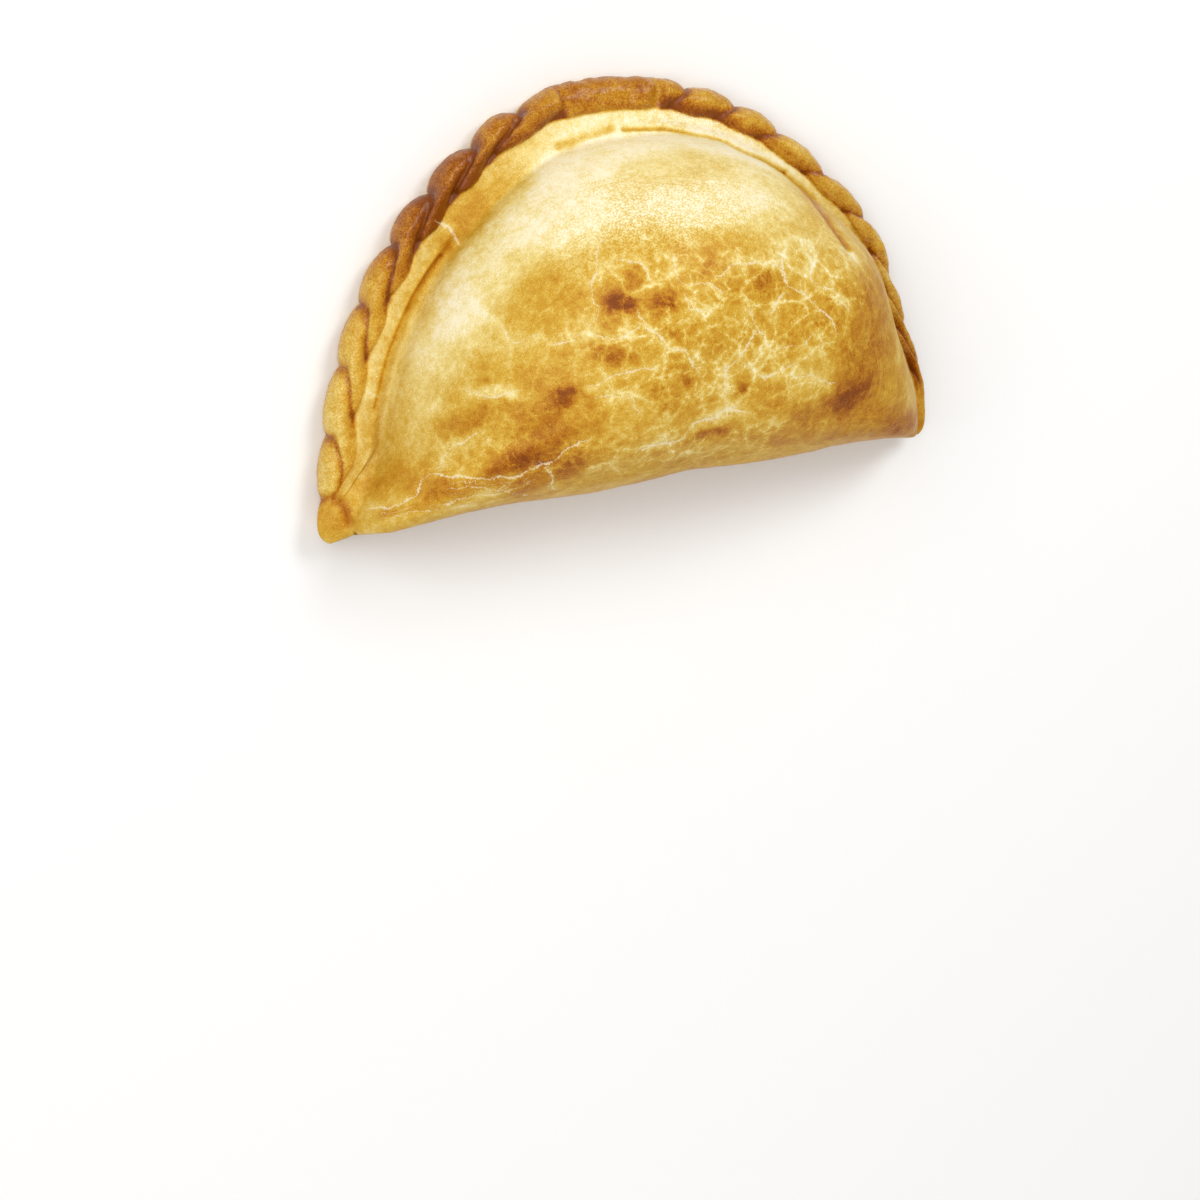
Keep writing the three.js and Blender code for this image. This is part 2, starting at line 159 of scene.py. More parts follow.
# Pale cracks of the crust: width in millimetres, points in the photograph's pixels
CRACKS = (
    (0.55, ((371, 510), (402, 504), (418, 493), (423, 477), (432, 473), (449, 477), (487, 481))),
    (0.55, ((487, 481), (509, 479), (527, 470), (540, 467), (556, 460), (570, 448), (587, 440))),
    (0.35, ((548, 467), (556, 490))),
    (0.3, ((439, 462), (450, 448), (477, 432))),
    (0.4, ((598, 239), (596, 262), (592, 295), (599, 307), (596, 322), (574, 341), (558, 346))),
    (0.3, ((604, 266), (618, 260), (642, 264), (649, 279))),
    (0.5, ((640, 317), (647, 329), (657, 335), (668, 348), (686, 350), (692, 360), (699, 374))),
    (0.35, ((592, 336), (616, 338), (640, 329))),
    (0.35, ((674, 261), (681, 278), (691, 285), (710, 284), (720, 293))),
    (0.35, ((686, 299), (689, 312), (705, 314), (715, 309))),
    (0.35, ((720, 276), (730, 266), (761, 261), (778, 266))),
    (0.4, ((778, 244), (783, 268), (788, 288), (776, 302), (771, 314))),
    (0.45, ((788, 288), (802, 293), (817, 307), (827, 317), (836, 329))),
    (0.35, ((807, 251), (814, 278), (834, 292), (846, 307))),
    (0.4, ((749, 311), (752, 320), (759, 329), (769, 343))),
    (0.3, ((814, 334), (800, 346), (785, 348))),
    (0.4, ((725, 368), (739, 360), (744, 351), (756, 334))),
    (0.45, ((739, 360), (748, 369), (761, 377), (793, 365))),
    (0.35, ((793, 377), (812, 377), (831, 382))),
    (0.6, ((725, 368), (723, 385), (725, 397), (727, 406), (744, 411))),
    (0.6, ((727, 406), (715, 418), (694, 425), (683, 440), (643, 450))),
    (0.45, ((590, 386), (613, 377), (635, 372), (657, 367))),
    (0.3, ((601, 397), (630, 394), (640, 411))),
    (0.6, ((469, 392), (493, 398), (514, 392))),
    (0.35, ((478, 308), (495, 322), (514, 342), (536, 336))),
    (1.1, ((442, 225), (451, 232), (457, 240))),
    (0.9, ((846, 250), (852, 254), (856, 262))),
    (0.6, ((370, 392), (375, 394))),
    (0.24, ((434, 506), (460, 501), (487, 495), (515, 490), (531, 482))),
    (0.24, ((490, 506), (508, 502), (527, 496), (559, 490))),
    (0.2, ((385, 518), (410, 512), (440, 511), (470, 505))),
    (0.2, ((452, 490), (470, 489), (492, 490), (505, 487))),
)
CRACK_REACH = 6
CRACK_LIP = 0.6
CRACK_JAG = {"size": 3.5, "shift": 0.7, "start": 11}

# Creases and soft bands beside the dome: width and depth in millimetres, browning, points in pixels.
# Their browning is partly deeper browning and partly painted shade in the creases; the wide band beside the
# bead is painted shade, and the pale band along the right ledge is a painted highlight
CREASES = (
    (0.45, 0.3, 0.3, ((441, 256), (428, 273), (412, 300), (400, 325), (390, 350), (382, 378), (375, 408))),
    # painted shade on the bead's far side
    (1.5, 0, 0.12, ((449, 245), (428, 273), (412, 300), (390, 350), (375, 400), (366, 450))),
    (0.9, 0.5, 0.34, ((560, 146), (575, 141), (594, 134), (610, 129))),
    (0.4, 0.45, 0.5, ((624, 129), (665, 129), (700, 135), (722, 140), (742, 150), (765, 160), (785, 172))),
    (0.45, 0.45, 0.36, ((785, 172), (800, 185), (812, 197), (825, 215), (837, 232), (850, 250))),
    # painted highlight along the right ledge
    (0.8, 0, -0.16, ((745, 126), (780, 152), (825, 187), (858, 222), (880, 262), (893, 310), (899, 360))),
    (0.8, 0.5, 0.3, ((318, 500), (333, 497), (345, 507), (349, 522))),
)

# Soft patches of the dome, in pixels: middle, half length, half width, turn in degrees, browning.
# Most are the crust's own browning; the pale patch over the dome's top at (680, 208) is a painted highlight,
# and a few lighten or darken spots as painted light and shade that evens out the lamps' shading there
PATCHES = (
    (560, 205, 75, 48, 48, -0.36), (480, 285, 72, 30, 60, -0.3), (440, 345, 62, 24, 70, -0.18),
    (640, 156, 90, 24, 4, -0.24), (680, 208, 80, 30, 3, -0.33), (760, 190, 50, 30, -35, -0.2),
    (735, 148, 60, 15, -22, -0.2), (820, 262, 40, 30, -50, -0.15), (500, 397, 24, 6, -3, -0.25),
    (505, 338, 40, 14, -5, -0.1),
    (432, 412, 14, 8, 0, -0.15), (470, 222, 46, 18, 42, 0.16), (515, 182, 32, 14, 42, 0.1),
    (568, 152, 16, 7, 20, 0.12), (619, 301, 20, 14, 10, 0.56), (640, 277, 12, 11, 0, 0.2),
    (666, 305, 14, 11, 0, 0.42), (612, 325, 11, 8, 0, 0.16), (710, 271, 20, 11, 15, 0.14),
    (684, 250, 18, 9, 5, 0.12), (765, 284, 26, 18, 0, 0.2), (730, 292, 12, 10, 0, 0.15),
    (676, 331, 20, 9, 0, 0.14), (722, 330, 24, 13, 0, 0.06), (785, 335, 18, 13, 0, 0.1),
    (820, 317, 22, 15, 0, 0.1), (606, 352, 20, 11, 0, 0.26), (628, 360, 12, 9, -20, 0.2),
    (685, 374, 15, 10, 0, 0.24), (668, 400, 15, 10, 0, 0.22), (742, 389, 9, 9, 0, 0.3),
    (775, 403, 22, 10, 0, 0.12), (714, 436, 19, 9, 8, 0.32), (530, 376, 18, 13, 0, 0.14),
    (478, 366, 11, 8, 0, 0.12), (481, 383, 10, 6, 0, 0.16), (478, 418, 38, 15, 24, 0.22),
    (566, 394, 18, 14, 10, 0.3), (548, 410, 42, 17, 10, 0.2), (545, 452, 46, 26, 15, 0.34),
    (572, 470, 14, 11, 20, 0.16), (505, 464, 40, 12, 5, 0.22), (470, 484, 60, 14, 6, 0.28),
    (535, 487, 30, 9, 14, 0.24), (400, 475, 32, 20, 10, 0.16), (372, 482, 12, 10, 0, 0.14),
    (382, 514, 14, 6, 10, 0.18), (430, 505, 50, 9, 8, 0.2), (850, 392, 26, 18, 25, 0.24),
    (858, 352, 17, 17, 90, 0.08), (872, 350, 92, 33, 82, 0.25), (820, 412, 34, 16, 20, 0.22),
    (880, 425, 36, 14, 8, 0.1), (690, 462, 90, 10, 9, 0.05), (600, 478, 60, 8, 6, 0.05),
    (820, 438, 60, 8, 2, 0.12), (905, 425, 24, 20, 10, 0.26), (335, 520, 24, 20, 0, 0.14),
    (854, 255, 9, 4, -50, -0.4), (398, 405, 50, 12, 75, 0.1),
    (620, 430, 40, 20, 5, 0.06), (655, 455, 24, 7, 9, 0.12), (772, 432, 26, 8, 4, 0.12),
    (530, 288, 60, 32, 10, 0.11),
)
PATCH_POWER = 1.5
PATCH_WARPS = ({"size": 7, "shift": 1.6, "start": 31}, {"size": 2.2, "shift": 0.8, "start": 37})
WARP_APART = 40

# How squarely the crust faces the camera where drawn marks start to show, and where they show in full
FACING = (-0.05, 0.2)
CRACK_FACING = (0.08, 0.3)

# Where the crust is flaky, in fine streaks along the edge, in pixels as above with the streaks' share
FLAKY = ((470, 490, 120, 24, 9, 0.25), (878, 375, 95, 34, 84, 0.6), (700, 466, 130, 12, 9, 0.7))

# Where the egg wash shines, in pixels as above with the zone's share: a shinier coat, and stronger grain
# whose specks are painted glints
PAINTED_SPECKS_AND_SHINE = ((675, 210, 78, 34, 3, 1), (600, 230, 60, 50, 30, 0.4), (690, 118, 70, 14, -4, 0.5))

# Where the crust is crazed all over, in pixels: middle, half length, half width, turn, share
CRAZED = (
    (710, 330, 170, 105, 0, 1), (500, 440, 90, 50, 15, 0.5), (815, 290, 45, 55, 0, 0.6),
    (650, 452, 150, 20, 9, 0.7),
)

# Browning, from 0 for raw dough to 1 for the darkest crust, along the rim in millimetres
DOME_TONE = 0.45
DOME_FADE = 0.9
HIDDEN_TONE = 0.64
SOLE_TONE = -0.12
SOLE_RAMP = (0, 0.5)
# Painted shade on the rope, as more browning: in the creases between crimps (there partly deeper browning
# too), in the low valleys, on the laps that run under the next crimp's end, and towards the crimps' inner
# tips
CREASE_SHADE = 0.3
VALLEY_SHADE = 0.3
CREASE_WIDTH = 0.9
ROPE_FOOT = (0.02, 0.3)
ROPE_END = (4.6, 5.7)
LAP_POWER = 3
LAP_RAMP = (1.2, 4.2)
LAP_SHADES = ((0, 0.12), (25, 0.15), (50, 0.3), (80, 0.36), (92, 0.1), (115, 0.3), (140, 0.3), (160, 0.2))
INNER_RAMP = (2.2, 4.5)
INNER_SHADES = ((40, 0), (60, 0.08), (92, 0.08), (96, 0), (112, 0), (116, 0.3), (145, 0.2), (165, 0.06))
# The rope's and the ledge's own browning along the rim
ROPE_TONES = (
    (0, 0.52), (10, 0.42), (25, 0.38), (45, 0.58), (60, 0.9), (70, 0.9), (80, 0.74), (90, 0.66),
    (97, 0.76), (112, 0.74), (116, 0.64), (130, 0.58), (145, 0.5), (158, 0.5), (180, 0.54),
    (195, 0.66), (212, 0.76),
)
LEDGE_TONES = (
    (0, 0.46), (20, 0.26), (50, 0.34), (62, 0.45), (75, 0.4), (88, 0.26), (100, 0.17), (115, 0.17),
    (140, 0.24), (160, 0.3), (172, 0.42), (185, 0.55), (212, 0.62),
)

# Unevenness of the surface: size and height in millimetres
BLISTERS = ({"size": 7, "height": 0.16, "start": 3}, {"size": 2.6, "height": 0.06, "start": 5})
WRINKLES = ({"size": 2.2, "height": 0.2, "start": 7}, {"size": 1, "height": 0.1, "start": 9})

# Patterns of the crust: sizes in millimetres, tone as change of browning, noise as levels to come in between
MOTTLES = ((15, 0.14, 2), (4.5, 0.3, 3), (1.3, 0.32, 2))
GRAIN = {"size": 0.36, "tone": 0.74}
# Grain is stronger on the rope, and where the wash shines, where its specks are painted glints
GRAIN_ZONES = {"rope": 0.32, "glints": 0.8}
# Bright specks of the grain are painted glints; the dark pits are the crust's own
PAINTED_SPARKLES = {"noise": (0.62, 0.74), "tone": -0.4}
PITS = {"noise": (0.38, 0.28), "tone": 0.25}
SAND = {"size": 0.5, "depth": 0.1}
STREAKS = {"long": 6, "across": 0.6, "ripple": 1.2, "tone": 0.55}
NOISE_MIDDLE = 0.5
PALEST = 0.04

# Crazing: networks of hairlines round islands of crust, in millimetres, with halos as a share of a cell
NETWORKS = ({"cell": 5.6, "width": 0.6, "share": 1}, {"cell": 2.8, "width": 0.4, "share": 0.7})
NETWORK_BREAKS = {"size": 5, "noise": (0.38, 0.62), "least": 0.001}
NETWORK_TONE = 0.14
NETWORK_HALO = 0.3
WARPS = ((11, 2.5), (2.2, 0.6), (0.8, 0.25))
FRAY = {"size": 0.8, "reach": 1.1}
ISLANDS = 0.12
CRAZED_TONE = 0.1

# The drawn cracks: ragged, broken and fading out, in millimetres, with paler crust beside them
CRACK_RAGS = ((1.4, 0.5), (0.35, 0.4))
CRACK_BREAKS = {"size": 3, "noise": (0.35, 0.7), "width": (0.15, 0.95)}
CRACK_FADE = (0.6, 1.1)
CRACK_SHARE = 0.8
CRACK_HALO = 1.8
HALO_TONE = -0.1

# Browning at which the crust has each of its colours
BROWNING = (("cream", 0), ("pale", 0.2), ("gold", 0.45), ("tan", 0.66), ("brown", 0.84), ("dark", 1))

# Egg wash: its uneven gloss, with features in millimetres, and what differs from zone to zone
EGG_WASH = {"size": 3, "noise": (0.3, 0.7), "roughness": (0.34, 0.5)}
ROUGHNESS_ZONES = {"rope": -0.1, "flaky": 0.3}
COAT_ZONES = {"rope": 0.35, "glints": 0.9}
COAT_ROUGHNESS = 0.26
CRUST_IOR = 1.45
CRUST_SPECULAR = 0.16

# Studio, in metres
VIEW_END = 20
FLOOR_REACH = 12
FLOOR_ROUGHNESS = 0.9
LIGHT_AIM = (0, 0, 0.02)
LIGHTS = (
    {"name": "key", "size": 0.35, "place": (0.32, 0.42, 0.62)},
    {"name": "fill", "size": 0.9, "place": (-0.55, 0.25, 0.75)},
    {"name": "bounce", "size": 1, "place": (0, -0.65, 0.3)},
)

# Settings that many nodes share
MULTIPLY = {"operation": "MULTIPLY"}
MULTIPLY_ADD = {"operation": "MULTIPLY_ADD"}
SUBTRACT = {"operation": "SUBTRACT"}
SMOOTH = {"interpolation_type": "SMOOTHSTEP"}


def linear(colour):
    """Linear red, green and blue of an sRGB hex value."""
    channels = [int(colour[i:i + 2], 16) / 255 for i in (1, 3, 5)]
    return [c / 12.92 if c <= 0.04045 else ((c + 0.055) / 1.055) ** 2.4 for c in channels]


def smoothstep(value, low, high):
    share = np.clip((value - low) / (high - low), 0, 1)
    return share * share * (3 - 2 * share)


def lerp(start, end, share):
    return start + (end - start) * share


def rounded_edge(share):
    """A quarter round: 0 at the edge, level at 1."""
    return np.sqrt(1 - (1 - np.clip(share, 0, 1)) ** 2)


class DoughShape:
    """The folded dough's surface in millimetres: +X along the fold, +Y from fold to rim, +Z up."""

    def __init__(self, form):
        self.half = form.length / MM / 2
        self.depth = form.depth / MM
        self.centre = CENTRE_SHARE * self.depth
        self.crown = form.height / MM * 2 ** (1 / DOME_BLEND)
        self.reach = form.rope_width / MM
        self.crimp_rise = form.crimp_rise / MM
        self.tip_angle = math.atan2(self.centre, self.half)
        self.lay_stations()

    def fold_edge(self, x):
        reach = np.clip(np.abs(x) / self.half, 0, 1)
        droop = np.where(x < 0, LEFT_TIP_DROOP, RIGHT_TIP_DROOP)
        wave = np.sin(2 * np.pi * x / FOLD_WAVE["length"] + FOLD_WAVE["start"])
        return FOLD_WAVE["height"] * wave * (1 - reach) - droop * reach ** DROOP_POWER

    def rim_swell(self, angle):
        """How far the rim stands out of its ellipse in each direction."""
        total = np.zeros_like(angle)
        for swell in SWELLS:
            turn = angle - swell["angle"]
            turn = np.arctan2(np.sin(turn), np.cos(turn)) / swell["spread"]
            total += swell["height"] * np.exp(-turn * turn)
        return total

    def ellipse_radius(self, angle):
        dx, dy = np.cos(angle), np.sin(angle)
        high = self.depth + RIM_CENTRE_DROP
        wide = self.half / math.sqrt(1 - (RIM_CENTRE_DROP / high) ** 2)
        offset = self.centre + RIM_CENTRE_DROP
        a = (dx / wide) ** 2 + (dy / high) ** 2
        b = offset * dy / high ** 2
        c = (offset / high) ** 2 - 1
        return (np.sqrt(b * b - a * c) - b) / a + self.rim_swell(angle)

    def fold_radius(self, angle):
        dx = np.cos(angle)
        fall = np.maximum(-np.sin(angle), LEAST_FALL)
        radius = self.centre / fall
        for _ in range(FOLD_PASSES):
            x = np.clip(radius * dx, -self.half, self.half)
            radius = (self.centre - self.fold_edge(x)) / fall
        return radius

    def outline_radius(self, angle):
        rim = self.ellipse_radius(angle) ** -TIP_SHARPNESS
        fold = np.where(np.sin(angle) < 0, self.fold_radius(angle) ** -TIP_SHARPNESS, 0)
        return (rim + fold) ** (-1 / TIP_SHARPNESS)

    def slant(self, radius_at, angle):
        """Cosine of the angle between a curve's outward normal and the ray that meets it."""
        step = 1e-4
        change = (radius_at(angle + step) - radius_at(angle - step)) / (2 * step)
        return 1 / np.hypot(1, change / radius_at(angle))

    def lay_stations(self):
        """Places round the outline, clockwise from the left tip, as columns of the surface's grids."""
        trace = math.pi + self.tip_angle - np.linspace(0, 2 * np.pi, TRACE_STEPS + 1)
        radius = self.outline_radius(trace)
        steps = np.hypot(np.diff(radius * np.cos(trace)), np.diff(radius * np.sin(trace)))
        walked = np.concatenate([[0], np.cumsum(steps)])
        rim_length = walked[np.argmax(trace <= -self.tip_angle)]
        rim = rim_length * np.arange(RIM_STATIONS) / RIM_STATIONS
        fold_share = 0.5 - 0.5 * np.cos(np.pi * np.arange(FOLD_STATIONS) / FOLD_STATIONS)
        along = np.concatenate([rim, lerp(rim_length, walked[-1], fold_share)])
        angle = np.interp(along, walked, trace)
        self.along = along[:, None]
        self.angle = angle[:, None]
        self.radius = self.outline_radius(self.angle)
        self.lay_band()

    def lay_band(self):
        """The band's width, the dome's foot and the slopes at each station."""
        x = self.radius * np.cos(self.angle)
        y = self.centre + self.radius * np.sin(self.angle)
        self.rim = smoothstep(y, *RIM_RAMP)
        right = smoothstep(x / self.half, *RIGHT_SPAN)
        full = smoothstep(y, *(lerp(*ends, right) for ends in zip(BAND_RAMP, BAND_RAMP_RIGHT)))
        self.band_width = lerp(BAND, BAND_RIGHT, right)
        self.past_bead = smoothstep(self.along, *BEAD_END)
        self.fillet = FILLET["rise"] * self.past_bead * full
        width = self.band_width * lerp(TIP_BAND_SHARE, 1, full)
        slant = self.slant(self.ellipse_radius, self.angle)
        self.dome_foot = self.ellipse_radius(self.angle) - width / slant
        self.foot = lerp(self.radius - FOLD_BAND, self.dome_foot, self.rim)
        self.steepness = lerp(TIP_STEEPNESS, lerp(LEFT_STEEPNESS, RIGHT_STEEPNESS, right), full)
        undercut = lerp(FOLD_UNDERCUT, RIM_UNDERCUT, self.rim)
        self.undercut = undercut / self.slant(self.outline_radius, self.angle)
        self.equator = lerp(self.dome_height(self.radius), RIM_EQUATOR, self.rim)

    def rope_share(self):
        """Share of the rope's full width: it narrows towards the right tip."""
        return lerp(1, ROPE_RIGHT["share"], smoothstep(self.along, ROPE_RIGHT["start"], ROPE_RIGHT["end"]))

    def boldness(self):
        """How boldly the crimps stand out: low on the left, bold up to the tab, low after it."""
        return smoothstep(self.along, *BOLD_SPAN) * (1 - smoothstep(self.along, TAB["start"], TAB["end"]))

    def crimp_count(self, inward):
        """Crimps from the first notch to a place of the rope, counted along their sweep."""
        left = self.along < TAB["start"]
        sweep = np.where(left, 1, smoothstep(self.along, *RIGHT_SWEEP))
        sweep = lerp(CRIMP_SWEEP["top"], CRIMP_SWEEP["left"], sweep)
        place = self.along + sweep * smoothstep(inward, CRIMP_SWEEP["start"], CRIMP_SWEEP["end"])
        counts = [np.interp(place, notches, range(len(notches))) for notches in (LEFT_NOTCHES, RIGHT_NOTCHES)]
        return np.where(left, *counts)

    def on_tab(self):
        start = smoothstep(self.along, TAB["start"] - TAB["round"], TAB["start"])
        return start * (1 - smoothstep(self.along, TAB["end"], TAB["end"] + TAB["fade"]))

    def scallop(self, inward):
        """Each crimp stands out of the outline a little, less so further in; the tab runs smooth."""
        wave = np.abs(np.sin(np.pi * self.crimp_count(inward)))
        share = self.rim * np.maximum(0, 1 - inward / self.reach) ** 2
        reach = lerp(*SCALLOPS, self.boldness())
        return reach * share * (lerp(np.sqrt(wave), 1, self.on_tab()) - SCALLOP_LEVEL)

    def place(self, radius, z, step=1):
        """Points at these distances from the dome's centre, on every station or on every few."""
        angle = self.angle[::step]
        y = self.centre + radius * np.sin(angle)
        x = radius * np.cos(angle) + LEAN * y / self.depth
        return np.stack(np.broadcast_arrays(x, y, z), axis=-1)

    def rise(self, share, base, steepness):
        return base + (self.crown - base) * np.maximum(0, 1 - share ** DOME_POWER) ** steepness

    def dome_height(self, radius, step=1):
        """Height of the plain dome: the rise from the fold and the rise from the rim, run together."""
        x, y, _ = np.moveaxis(self.place(radius, 0, step), -1, 0)
        tipward = np.clip(np.abs(x) / self.half, 0, 1) ** TIP_POWER
        from_fold = np.clip((y - self.fold_edge(x)) / FOLD_REACH, 0, 1)
        fold = self.rise(1 - from_fold, lerp(FOLD_EQUATOR, TIP_EQUATOR, tipward), FOLD_STEEPNESS)
        from_middle = np.minimum(1, radius / self.dome_foot[::step])
        rim = self.rise(from_middle, LEDGE, self.steepness[::step])
        return (fold ** -DOME_BLEND + rim ** -DOME_BLEND) ** (-1 / DOME_BLEND)

    def lumps(self, x, y):
        total = np.zeros_like(x)
        for wave in LUMP_WAVES:
            across = x * math.cos(wave["heading"]) + y * math.sin(wave["heading"])
            total += wave["height"] * np.sin(2 * np.pi * across / wave["length"] + wave["start"])
        return total

    def knobs(self, x, y):
        aside = self.half - KNOB["inset"] - np.abs(x)
        rise = np.where(x < 0, KNOB["left"], KNOB["right"])
        return rise * np.exp(-(aside ** 2 + y ** 2) / KNOB["radius"] ** 2)

    def lobe(self, aside, inward):
        """One crimp's height share beside its middle line: half round, tapering to its inner tip."""
        past = np.clip((inward - CRIMP_TAPER) / (self.reach - CRIMP_TAPER), 0, 1)
        taper = np.sqrt(1 - past ** TIP_FULLNESS)
        offset = 2 * aside / (lerp(*CRIMP_OVERLAPS, self.boldness()) * np.maximum(taper, LEAST_TAPER))
        return np.maximum(0, 1 - offset ** 2) ** CRIMP_PROFILE * (1 - CRIMP_LEAN * offset) * taper

    def crimps(self, count, inward):
        """The height share of the higher of the two crimps that reach each place."""
        nearest = np.floor(count)
        neighbour = np.where(np.round(count) == nearest, nearest - 1, nearest + 1)
        heights = [self.lobe(count - lobe - 0.5, inward) for lobe in (nearest, neighbour)]
        return np.maximum(*heights) * (1 - self.on_tab())

    def pad(self, inward, pad):
        """A flat-topped pad with rounded sides between two places along the rim."""
        half = TAB["round"]
        ends = smoothstep(self.along, pad["start"] - 2 * half, pad["start"])
        ends = ends * (1 - smoothstep(self.along, pad["end"] - half, pad["end"] + half))
        return pad["rise"] * ends * (1 - smoothstep(inward, TAB["inner"] - half, TAB["inner"]))

    def bead(self, inward):
        """A low bead of dough along the ledge, running out to a trace."""
        aside = np.clip((inward - BEAD["inward"]) / BEAD["half"], -1, 1)
        return BEAD["rise"] * lerp(1, BEAD["trace"], self.past_bead) * np.cos(np.pi / 2 * aside) ** 2

    def band_tone(self, count, inward, height):
        """Rope share and browning of the band, with painted shade: darkest in the creases, the valleys, the
        laps beside the tips and towards the crimps' inner tips.
        """
        inner = 1 - smoothstep(inward, *ROPE_END)
        rope = np.maximum(smoothstep(height, *ROPE_FOOT), inner)
        crease = np.exp(-(np.abs(count - np.round(count)) * CRIMP_PITCH / CREASE_WIDTH) ** 2)
        lap = (count - np.floor(count)) ** LAP_POWER * smoothstep(inward, *LAP_RAMP)
        dark = (CREASE_SHADE * crease + VALLEY_SHADE * (1 - height)) * inner
        dark += np.interp(self.along, *zip(*LAP_SHADES)) * lap
        dark += np.interp(self.along, *zip(*INNER_SHADES)) * smoothstep(inward, *INNER_RAMP)
        tone = np.interp(self.along, *zip(*ROPE_TONES)) + dark * (1 - self.on_tab())
        return rope, lerp(np.interp(self.along, *zip(*LEDGE_TONES)), tone, rope)

    def band(self, share):
        """Rope and ledge at these shares of the band's width: points, rope share, and browning with its
        painted shade.
        """
        inward = share * self.band_width
        on_rope = inward / self.rope_share()
        count = self.crimp_count(on_rope)
        height = np.maximum(self.pad(on_rope, TAB), self.pad(on_rope, TAB_BAR))
        height = np.maximum(height, self.crimps(count, on_rope))
        ledge = smoothstep(on_rope, LEDGE_START - LEDGE_BLEND, LEDGE_START + LEDGE_BLEND)
        rise = self.crimp_rise * lerp(*CRIMP_RISES, self.boldness())
        rope = rise * np.sqrt(self.rope_share()) * soften(height)
        full = lerp(VALLEY, LEDGE, ledge) + self.bead(inward) + rope
        top = lerp(RIM_EQUATOR, full, rounded_edge(inward / EDGE_ROUND))
        top = top + self.fillet * smoothstep(share, FILLET["start"], 1) ** 2
        radius = lerp(self.radius, self.foot, share)
        z = lerp(self.dome_height(radius), top, self.rim)
        points = self.place(radius + self.scallop(on_rope), z)
        points[..., 2] += self.knobs(points[..., 0], points[..., 1]) * rounded_edge(share)
        rope, tone = self.band_tone(count, on_rope, height)
        return points, self.rim * rope, self.rim * (tone - DOME_TONE)

    def dome(self, share, step):
        radius = share * self.foot[::step]
        points = self.place(radius, self.dome_height(radius, step), step)
        x, y = points[..., 0], points[..., 1]
        points[..., 2] += self.lumps(x, y) * smoothstep(1 - share, 0, LUMP_FADE) + self.knobs(x, y)
        return points

    def underside(self, share):
        """From the outline in to the flat sole."""
        radius = self.radius - share * self.undercut + self.scallop(0) * (1 - share)
        return self.place(radius, self.equator * (1 - rounded_edge(share)))

    def sole(self, share, step):
        return self.place(share * (self.radius - self.undercut)[::step], 0, step)


def soften(grid):
    """A light blur round the rim and across it, so that steep laps don't fall into steps."""
    padded = np.pad(grid, ((0, 0), (1, 1)), mode="edge")
    across = (padded[:, :-2] + 2 * padded[:, 1:-1] + padded[:, 2:]) / 4
    return (np.roll(across, 1, axis=0) + 2 * across + np.roll(across, -1, axis=0)) / 4


class Skin:
    """Rings of points with the values of their zones, and the faces between them."""

    def __init__(self):
        self.points = []
        self.zones = []
        self.faces = []
        self.size = 0
        self.last = None

    def add(self, points, rope=0, tone=0, under=0, inset=0):
        count = len(points)
        self.points.append(points)
        columns = [np.broadcast_to(zone, count) for zone in (rope, tone, under, inset)]
        self.zones.append(np.stack(columns, axis=-1))
        ids = np.arange(self.size, self.size + count)
        self.size += count
        return ids

    def ring(self, points, **zones):
        ids = self.add(points, **zones)
        if self.last is not None:
            self.bridge(self.last, ids)
        self.last = ids

    def bridge(self, lower, upper):
        """Faces from one ring up to the next, which has as many points, twice or half as many."""
        low_next, up_next = np.roll(lower, -1), np.roll(upper, -1)
        if len(lower) == len(upper):
            sets = [(lower, upper, up_next, low_next)]
        elif len(lower) > len(upper):
            start, middle, end = lower[::2], lower[1::2], np.roll(lower[::2], -1)
            sets = [(start, upper, middle), (middle, upper, up_next), (middle, up_next, end)]
        else:
            start, middle, end = upper[::2], upper[1::2], np.roll(upper[::2], -1)
            sets = [(lower, start, middle), (lower, middle, low_next), (low_next, middle, end)]
        for corners in sets:
            self.faces += np.stack(corners, axis=-1).tolist()

    def close(self, point, ring, **zones):
        hub = np.broadcast_to(self.add(point[None, :], **zones), len(ring))
        return np.stack([hub, ring, np.roll(ring, -1)], axis=-1)


def dough_skin(shape):
    """The whole closed surface, from the middle of the sole to the middle of the dome."""
    skin = Skin()
    total = RIM_STATIONS + FOLD_STATIONS
    for count, (start, end, rings) in SOLE_RINGS.items():
        for share in np.linspace(start, end, rings, endpoint=False):
            skin.ring(shape.sole(share, total // count)[:, 0], under=1)
    first = np.arange(list(SOLE_RINGS)[0])
    for share in np.linspace(1, 0, UNDERCUT_RINGS, endpoint=False):
        skin.ring(shape.underside(share)[:, 0], under=smoothstep(share, *SOLE_RAMP))
    shares = np.linspace(0, 1, BAND_RINGS)
    points, rope, tone = shape.band(shares[None, :])
    for i in range(BAND_RINGS):
        inset = shares[i] * (shape.radius - shape.foot)[:, 0]
        skin.ring(points[:, i], rope=rope[:, i], tone=tone[:, i], inset=inset)
    foot_tone = (shape.rim * tone)[:, -1]
    for count, (start, end, rings) in DOME_RINGS.items():
        for share in np.linspace(start, end, rings + 1)[1:]:
            step = total // count
            tone = foot_tone[::step] * smoothstep(share, DOME_FADE, 1)
            inset = (shape.radius - share * shape.foot)[::step, 0]
            skin.ring(shape.dome(share, step)[:, 0], tone=tone, inset=inset)
    last = skin.last
    top = shape.dome(np.zeros(1), total)[0, 0]
    skin.faces += skin.close(top, last, inset=shape.centre)[:, [0, 2, 1]].tolist()
    skin.faces += skin.close(np.array([0, shape.centre, 0]), first, under=1).tolist()
    return skin


